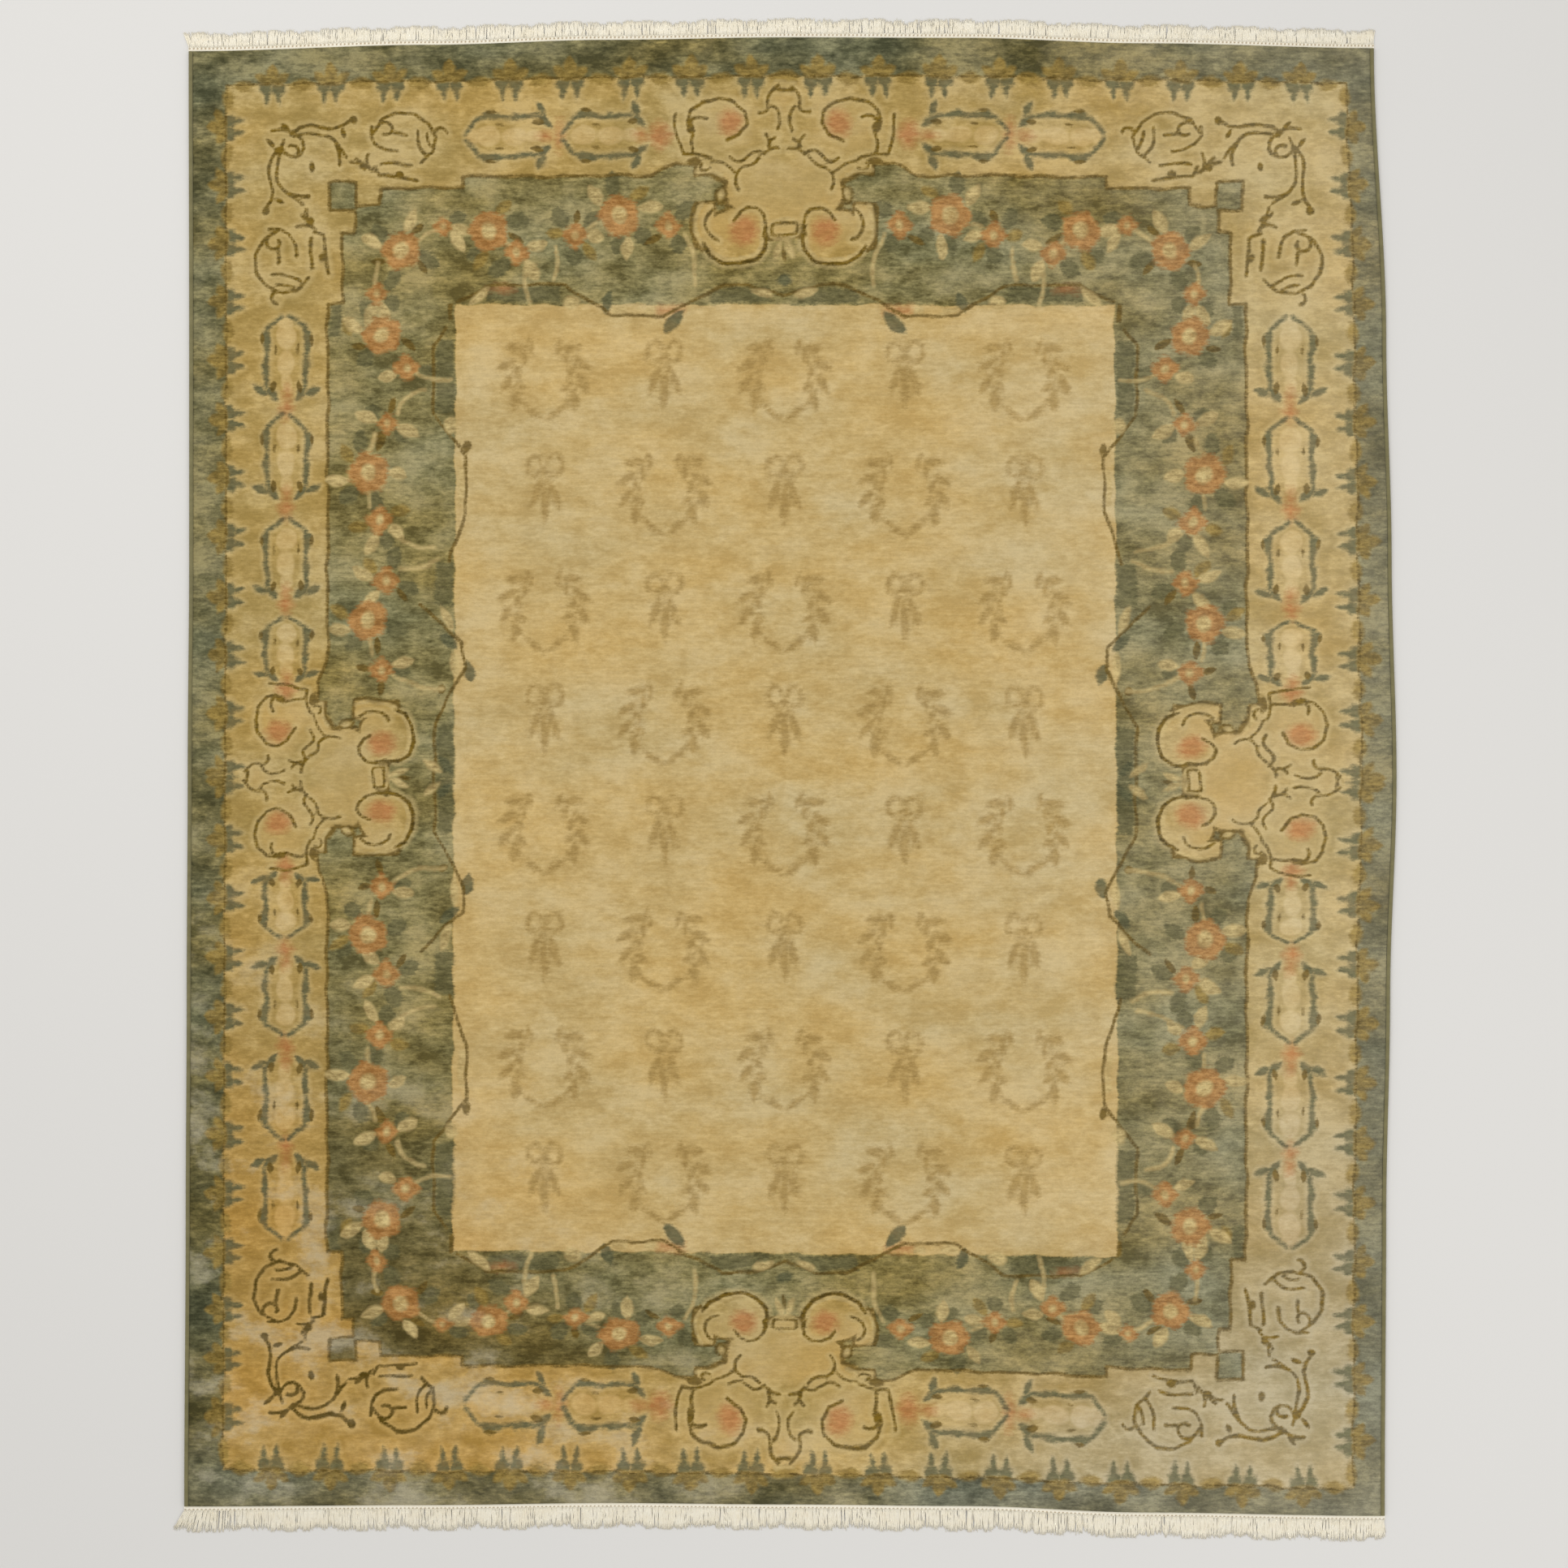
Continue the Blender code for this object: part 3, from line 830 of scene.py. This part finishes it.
# Painted light: the near end's outer green is lighter and bluer and the near right corner greyer,
# both painted sheen, and the near left corner darker and more golden, painted shade. Columns: tint
# of the main border, of the outer border, of the vine band
NEAR_END_SHEEN_TINT = (1.16, 1.19, 1.38)
NEAR_LEFT_SHADE_TINTS = ((1.0, 0.88, 0.70), (0.78, 0.79, 0.77), (0.62, 0.57, 0.47))
NEAR_RIGHT_SHEEN_TINTS = ((0.80, 0.89, 1.28), (0.78, 0.86, 1.05), (0.86, 0.95, 1.18))
WARM_TINT = (1.10, 0.98, 0.76)
COOL_TINT = (0.87, 0.98, 1.24)


def held(tree, name):
    """A number held by the points of the mesh."""
    return node(tree, "Attribute", attribute_name=name).outputs["Fac"]


def pile_material():
    """Dyed wool: the dyes laid over each other in the weaver's order, with rows, mottle and sheen.

    A zone's colour follows the unevenness from dark to light. A shape's edge is its distance zero,
    shifted by the knots and flecks. Tints multiply the colour, some of them painted shade and sheen,
    the veil of painted sheen is laid over it, and a lift of painted sheen brightens the beige and field.
    """
    material, tree, shader, place, face = soft_stuff("pile_wool", rough=0.9, sheen=0.0)
    across, along, _ = node(tree, "SeparateXYZ", (place,)).outputs
    knot, row, fleck, mottle, cloud, drift, height = face

    def ranged(value, low, high, out_low=0.0, out_high=1.0):
        """A value carried from one range to another, and held at its ends."""
        return node(tree, "MapRange", (value, low, high, out_low, out_high)).outputs[0]

    def plus(*values):
        """The sum of two values."""
        return maths(tree, *values)

    def times(*values):
        """The product of two values."""
        return maths(tree, *values, operation="MULTIPLY")

    def tinted(share, colour, tint):
        """A colour multiplied by a tint, by a share."""
        return mixed(tree, share, colour, mixed(tree, 1.0, colour, tint, blend="MULTIPLY"))

    uneven = plus(plus(cloud, times(mottle, MOTTLE_SHARE)), times(fleck, FLECK_SHARE))
    shift = times(knot, KNOT_SHIFT)
    wobble = plus(fleck, -0.5)

    def patchy(colours):
        """Dark, middle and light of one dye in patches."""
        dark, middle, light = colours
        lower = mixed(tree, ranged(uneven, *PATCHES[:2]), dark, middle)
        return mixed(tree, ranged(uneven, *PATCHES[1:]), lower, light)

    def inside(dye, soft, ragged, most=1.0):
        """How much of a dye shows: most inside its shapes, nothing outside, ragged by the flecks."""
        edge = plus(plus(held(tree, dye), shift), times(wobble, ragged))
        return ranged(edge, soft, -soft, 0, most)

    outer, band = inside("moss", *MOSS_EDGE), inside("sage", *SAGE_EDGE)
    green = maths(tree, outer, band, operation="MAXIMUM")
    colour = mixed(tree, ranged(held(tree, "slate"), *LEAF_HALO), patchy(BEIGE), PALE)
    colour = mixed(tree, inside("faded", *FADED_EDGE), colour, FADED)
    colour = mixed(tree, inside("ground", *GROUND_EDGE), colour, patchy(GROUND))
    colour = mixed(tree, band, mixed(tree, outer, colour, patchy(MOSS)), patchy(SAGE))
    tint = mixed(tree, ranged(drift, *DRIFT), WARM_TINT, COOL_TINT)
    colour = tinted(ranged(green, 0, 1, *TINTING), colour, tint)
    colour = mixed(tree, ranged(held(tree, "dark"), *DARK_HALO), colour, PALE)
    # Painted sheen: the outer green grows lighter and bluer towards the near end
    colour = tinted(times(outer, ranged(along, *NEAR_END)), colour, NEAR_END_SHEEN_TINT)
    # Painted shade darkens the near left corner, and painted sheen greys the near right corner
    left_corner = ranged(plus(across, along), *LEFT_CORNER)
    right_corner = ranged(maths(tree, along, across, operation="SUBTRACT"), *RIGHT_CORNER)
    for where, tints in ((left_corner, NEAR_LEFT_SHADE_TINTS), (right_corner, NEAR_RIGHT_SHEEN_TINTS)):
        tint = mixed(tree, band, mixed(tree, outer, tints[0], tints[1]), tints[2])
        colour = tinted(where, colour, tint)

    # The veil is painted sheen: where the pile leans away from the eye it shines pale, at the right and
    # near sides, in clouds and in worn patches near the left corner. Most of this veil lies under the
    # small dyes
    veil = plus(ranged(across, *VEIL_RIGHT), ranged(along, *VEIL_NEAR))
    veil = plus(veil, ranged(cloud, *VEIL_CLOUDS))
    veil = plus(veil, times(left_corner, ranged(cloud, *VEIL_WORN)))
    veil = maths(tree, veil, 0.0, operation="MAXIMUM")
    colour = mixed(tree, times(veil, VEIL_UNDER), colour, SEEN_ASLANT)
    worn = ranged(mottle, *WEAR)
    for dye, dark, light, soft, ragged, most in SMALL_DYES:
        depth = ranged(plus(mottle, fleck), *DEPTH)
        # The dark lines go darker at the near left corner too: painted shade
        if dye == "dark":
            depth = times(depth, ranged(left_corner, 0, 1, 1, 0.2))
        share = times(inside(dye, soft, ragged, most), worn)
        colour = mixed(tree, share, colour, mixed(tree, depth, dark, light))
    colour = mixed(tree, times(veil, VEIL_OVER), colour, SEEN_ASLANT)

    grain = plus(times(wobble, FLECK_GRAIN), times(plus(row, -0.5), ROW_GRAIN))
    grain = plus(grain, times(knot, KNOT_GRAIN))
    tone = plus(times(grain, ranged(green, 0, 1, *GRAIN)), 1.0)
    # Painted sheen: the beige and field grow lighter towards the right and near sides
    sheen_lift = plus(ranged(across, *SHEEN_LIFT_RIGHT), ranged(along, *SHEEN_LIFT_NEAR))
    tone = plus(tone, times(sheen_lift, ranged(green, 0, 1, 1, 0)))
    scaled = node(tree, "VectorMath", (colour,), operation="SCALE")
    tree.links.new(tone, scaled.inputs["Scale"])
    tree.links.new(scaled.outputs[0], shader.inputs["Base Color"])
    bump(tree, shader, height, PILE_BUMP, PILE_BUMP_STRENGTH)
    return material


def hold(piece, name, values):
    """Gives each point of a piece a number under a name, for its material to read."""
    numbers = piece.data.attributes.new(name, "FLOAT", "POINT")
    numbers.data.foreach_set("value", values.ravel().astype(np.float32))


FIELD_PIECE = (0.640, 0.930)
BAND_PIECE = (0.931, 1.218)
BORDER_PIECE = (1.146, 1.416)
PILE_MATERIAL = pile_material()
# Columns: name, half size of the hole, half size of the piece, knots' grid pitch, all in metres
for name, hole, half_size, pitch in (
    ("pile_field", (0, 0), FIELD_PIECE, 0.0078),
    ("pile_vine_band", FIELD_PIECE, BAND_PIECE, 0.0048),
    ("pile_main_border", BAND_PIECE, BORDER_PIECE, 0.0047),
    ("pile_outer_border", BORDER_PIECE, (HALF_WIDTH, HALF_LENGTH), 0.0046),
):
    piece, across, along = slab(name, half_size, hole, pitch, clipped_face, FOUNDATION_TOP)
    drawing = Cartoon(across, along)
    draw(drawing)
    for dye in DYES:
        hold(piece, dye, drawing.dyes[dye])
    piece.data.materials.append(PILE_MATERIAL)
    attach(piece, "root")
    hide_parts("knotted_rug")

# The side rolls: the outer warps of each long side, bound round and round with olive wool. A turn
# of the wool lies every 4 mm, so the roll is ridged all the way along.
ROLL_GAP = 0.0003
ROLL_WIDTH = 0.009
ROLL_HEIGHT = 0.0085
ROLL_TURN = 0.0042
ROLL_STEP = 0.0014
ROLL_AROUND = 9
# The profile's height, as shares of the roll's, and what is taken off it all round
ROLL_FOOT = 0.45
ROLL_SWELL = 0.55
ROLL_BED = 0.8
ROLL_DROP = 0.0003
ROLL_INSET = 0.0002
ROLL_RIDGE = 0.0004
ROLL_SLANT = 0.0012
ROLL_CREASE = 1.2
ROLL_SHADE = (0.130, 0.118, 0.055)
ROLL_OLIVE = (0.26, 0.232, 0.115)


def bar(name, rings, hand, crease):
    """A closed bar through rings of points, one ring to a row, with a flat cap on either end.

    Hand is 1, or -1 where the rings go round the other way.
    """
    rows, size, _ = rings.shape
    number = np.arange(rows * size).reshape(rows, size)
    after = np.roll(number, -1, 1)
    quads = np.stack((number[:-1], number[1:], after[1:], after[:-1]), -1).reshape(-1, 4)
    faces = [*quads[:, ::hand].tolist(), number[0, ::hand].tolist(), number[-1, ::-hand].tolist()]
    return new_piece(name, rings, faces, crease)


def bound_roll(name, side):
    """A half-round bar along one side, carried on the slab's edge.

    Its height is the foot plus the swell times the greater of sin(a) and bed cos(a), for a from 0
    at the pile to pi outside, so it is bedded against the pile. Each turn of wool adds a ridge, as
    the absolute sine of the way along, and the turns lie a little aslant.
    """
    y = evenly(-HALF_LENGTH, HALF_LENGTH, ROLL_STEP)
    edge_x, edge_y = laid_out(side * HALF_WIDTH, y)
    a, half = np.linspace(0, np.pi, ROLL_AROUND), ROLL_WIDTH / 2
    ridge = ROLL_RIDGE * np.abs(np.sin(np.pi * (y[:, None] + ROLL_SLANT * a) / ROLL_TURN))
    swell = ROLL_FOOT + ROLL_SWELL * np.maximum(np.sin(a), ROLL_BED * np.cos(a))
    out = np.pad(half - np.cos(a) * (half - ROLL_INSET), 1, "edge")
    up = np.pad(ROLL_HEIGHT * swell - ROLL_DROP + ridge, ((0, 0), (1, 1)))
    x = edge_x[:, None] + side * (ROLL_GAP + out) + CENTRE_X
    y = np.broadcast_to(edge_y[:, None] + CENTRE_Y, x.shape)
    return bar(name, np.stack((x, y, up), -1), side, ROLL_CREASE)


roll_material, tree, shader, _, face = soft_stuff("roll_wool", rough=0.85, sheen=0.2)
colour = mixed(tree, face["Mottle"], ROLL_SHADE, ROLL_OLIVE)
tree.links.new(colour, shader.inputs["Base Color"])
for name, side in (("bound_roll_left", -1), ("bound_roll_right", 1)):
    roll = bound_roll(name, side)
    roll.data.materials.append(roll_material)
    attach(roll, "root")
    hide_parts("side_roll_left" if side < 0 else "side_roll_right")

# The ends: a narrow plain-woven cotton band, pierced by a row of small holes where the warps are
# hitched, and the loose warp threads beyond it. Threads are thin, uneven, and lie on the floor.
WOVEN_WIDTH = 0.010
WOVEN_HEIGHT = 0.0035
HOLE_PITCH = 0.0082
HOLE_RADIUS = 0.0018
HOLE_DEPTH = 0.0016
WOVEN_STEP = 0.0016
WOVEN_INNER_EDGE = 0.0004
WOVEN_ROWS = 8
WOVEN_CREASE = 1.0
EDGE_FALL = 0.25
END_HALF = HALF_WIDTH + ROLL_GAP + ROLL_WIDTH
THREADS_PER_END = 4900
THREAD_RADIUS = 0.00120
THREAD_TAPER = 0.40
THREAD_STEPS = 5
THREAD_SIDES = 3
FAR_LENGTH = 0.029
NEAR_LENGTH = 0.041
# A thread's length, as a share of its end's: the usual one, the least and most, and its unevenness
LENGTHS = (0.96, 0.6, 1.13)
SLOW_WAVE = (0.10, 41)
QUICK_WAVE = (0.07, 173)
LENGTH_SPREAD = 0.07
CLUMP_PITCH = 0.0082
CLUMPING = 0.18
LEAN = 0.0016
CURL = 0.0020
LIFT = 0.0016
ROOT_TUCK = 0.002
ROOT_DROP = 0.0016
FAN_SPAN = 0.11
THREAD_SEED = 11
COTTON_SHADE = (0.90, 0.82, 0.64)
COTTON = (0.99, 0.96, 0.86)
# Brown painted shade in the band's holes
HOLE_PAINTED_SHADE = (0.30, 0.19, 0.07)


def end_edge(end, x):
    """The slab's end edge at places across, straight on past its corners."""
    on_slab = np.clip(x, -HALF_WIDTH, HALF_WIDTH)
    px, py = laid_out(on_slab, end * HALF_LENGTH)
    return px + (x - on_slab), py


def woven_band(name, end, hole_place):
    """The plain-woven band: a flat strip along the end edge, dimpled in a row of small holes.

    Its height falls as the fourth power towards its two edges, and dips by the hole depth times
    exp(-(r / hole radius)^2), r from the nearest hole.
    """
    x = evenly(-END_HALF, END_HALF, WOVEN_STEP)
    out = np.linspace(WOVEN_INNER_EDGE, WOVEN_WIDTH, WOVEN_ROWS)
    px, py = end_edge(end, x)
    gap = np.mod(x, HOLE_PITCH) - HOLE_PITCH / 2
    dip = HOLE_DEPTH * np.exp(-(gap[:, None] ** 2 + (out - hole_place) ** 2) / HOLE_RADIUS**2)
    up = WOVEN_HEIGHT * (1 - EDGE_FALL * (2 * out / WOVEN_WIDTH - 1) ** 4) - dip
    dip, up = (np.pad(rows, ((0, 0), (1, 1))) for rows in (dip, up))
    along = py[:, None] + end * np.pad(out, 1, "edge") + CENTRE_Y
    across = np.broadcast_to(px[:, None] + CENTRE_X, up.shape)
    band = bar(name, np.stack((across, along, up), -1), end, WOVEN_CREASE)
    hold(band, "hole", dip / HOLE_DEPTH)
    return band


def loose_threads(name, end, length, fan, seed):
    """Thin three-sided threads from the band outwards, joined as one mesh.

    A thread's middle runs out by its own length, drifts aside by lean s + curl s^2 and sinks from
    the band's height to the floor; its radius thins by two fifths.
    """
    draw_lots = np.random.default_rng(seed)
    half = END_HALF - 0.001
    x = np.sort(draw_lots.uniform(-half, half, THREADS_PER_END))
    px, py = end_edge(end, x)
    s = np.linspace(0, 1, THREAD_STEPS)[None, :]
    ragged = SLOW_WAVE[0] * np.sin(x * SLOW_WAVE[1] + end) + QUICK_WAVE[0] * np.sin(x * QUICK_WAVE[1])
    ragged += draw_lots.normal(0, LENGTH_SPREAD, x.shape)
    usual, least, most = LENGTHS
    run = (length * np.clip(usual + ragged, least, most))[:, None]
    to_clump = (np.round(x / CLUMP_PITCH) * CLUMP_PITCH - x) * CLUMPING
    lean = to_clump + draw_lots.normal(0, LEAN, x.shape)
    lean -= fan * np.clip(1 - (x + half) / FAN_SPAN, 0, 1) ** 2
    curl = draw_lots.normal(0, CURL, x.shape)
    middle_x = px[:, None] + lean[:, None] * s + curl[:, None] * s**2
    middle_y = py[:, None] + end * (WOVEN_WIDTH - ROOT_TUCK + run * s)
    lift = draw_lots.uniform(0, LIFT, x.shape)[:, None]
    root_height = WOVEN_HEIGHT - ROOT_DROP - THREAD_RADIUS
    middle_z = THREAD_RADIUS + root_height * (1 - s) ** 2 + lift * (1 - s**2)
    radius = THREAD_RADIUS * (1 - THREAD_TAPER * s**2)
    a = (2 * np.pi * np.arange(THREAD_SIDES) / THREAD_SIDES + np.pi / 2)[None, None, :]
    vx = middle_x[..., None] + radius[..., None] * np.cos(a) + CENTRE_X
    vy = np.broadcast_to(middle_y[..., None], vx.shape) + CENTRE_Y
    vz = middle_z[..., None] + radius[..., None] * np.sin(a)
    number = np.arange(vx.size).reshape(vx.shape)
    after = np.roll(number, -1, 2)
    quads = np.stack((number[:, :-1], after[:, :-1], after[:, 1:], number[:, 1:]), -1).reshape(-1, 4)
    root, tip = number[:, 0], number[:, -1]
    faces = [*quads[:, ::-end].tolist(), *root[:, ::end].tolist(), *tip[:, ::-end].tolist()]
    return new_piece(name, np.stack((vx, vy, vz), -1), faces)


cotton_material, tree, shader, _, face = soft_stuff("fringe_cotton", rough=0.9, sheen=0.15)
colour = mixed(tree, face["Mottle"], COTTON_SHADE, COTTON)
# The holes darken brown by their depth: painted shade
colour = mixed(tree, held(tree, "hole"), colour, HOLE_PAINTED_SHADE)
tree.links.new(colour, shader.inputs["Base Color"])
# Columns: word, end, length of the threads, how far the left corner's fan out, place of the holes
for word, end, length, fan, hole_place in (
    ("far", 1, FAR_LENGTH, 0.010, 0.0060),
    ("near", -1, NEAR_LENGTH, 0.022, 0.0078),
):
    band = woven_band(f"woven_band_{word}", end, hole_place)
    threads = loose_threads(f"warp_threads_{word}", end, length, fan, THREAD_SEED + end)
    for piece in (band, threads):
        piece.data.materials.append(cotton_material)
        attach(piece, "root")
        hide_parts(f"end_band_{word}")

# The room: a plain pale floor, soft light from above, and a camera straight over the rug.
FLOOR_HALF = 6.0
FLOOR_DROP = 0.0004
corners = np.array(((-1, -1, 0), (1, -1, 0), (1, 1, 0), (-1, 1, 0))) * FLOOR_HALF
floor = new_piece("floor", corners - (0, 0, FLOOR_DROP), [(0, 1, 2, 3)])
floor_material = bpy.data.materials.new("floor_paint")
floor_material.use_nodes = True
floor_shader = floor_material.node_tree.nodes["Principled BSDF"]
floor_shader.inputs["Base Color"].default_value = (0.72, 0.71, 0.69, 1)
floor_shader.inputs["Roughness"].default_value = 0.7
floor.data.materials.append(floor_material)

bpy.context.scene.view_settings.view_transform = "Standard"
world = bpy.data.worlds.new("room")
bpy.context.scene.world = world
world.use_nodes = True
world.node_tree.nodes["Background"].inputs[0].default_value = (1.0, 0.99, 0.97, 1)
world.node_tree.nodes["Background"].inputs[1].default_value = 0.72
# Columns: name, place, power in watts, side
for name, spot, power, size in (
    ("ceiling_light", (-1.6, 2.2, 4.2), 70, 3.5),
    ("window_light", (2.4, -1.8, 3.6), 35, 3.0),
):
    light = bpy.data.lights.new(name, "AREA")
    light.energy = power
    light.size = size
    lamp = put_in(name, light)
    lamp.location = spot
    lamp.rotation_euler = (-Vector(spot)).to_track_quat("-Z", "Y").to_euler()

# The photograph is square and spans 3.18 m at the pile's height. Its middle lies a little to the
# left of the rug's and nearer
PICTURE_SPAN = 3.180
CAMERA_HEIGHT = 6.5
PICTURE_ACROSS = -0.005
PICTURE_ALONG = -0.014
camera_data = bpy.data.cameras.new("camera")
camera_data.sensor_fit = "HORIZONTAL"
camera_data.angle = 2 * float(np.arctan(PICTURE_SPAN / 2 / (CAMERA_HEIGHT - PILE_HEIGHT)))
camera = put_in("camera", camera_data)
camera.location = (CENTRE_X + PICTURE_ACROSS, CENTRE_Y + PICTURE_ALONG, CAMERA_HEIGHT)
bpy.context.scene.camera = camera
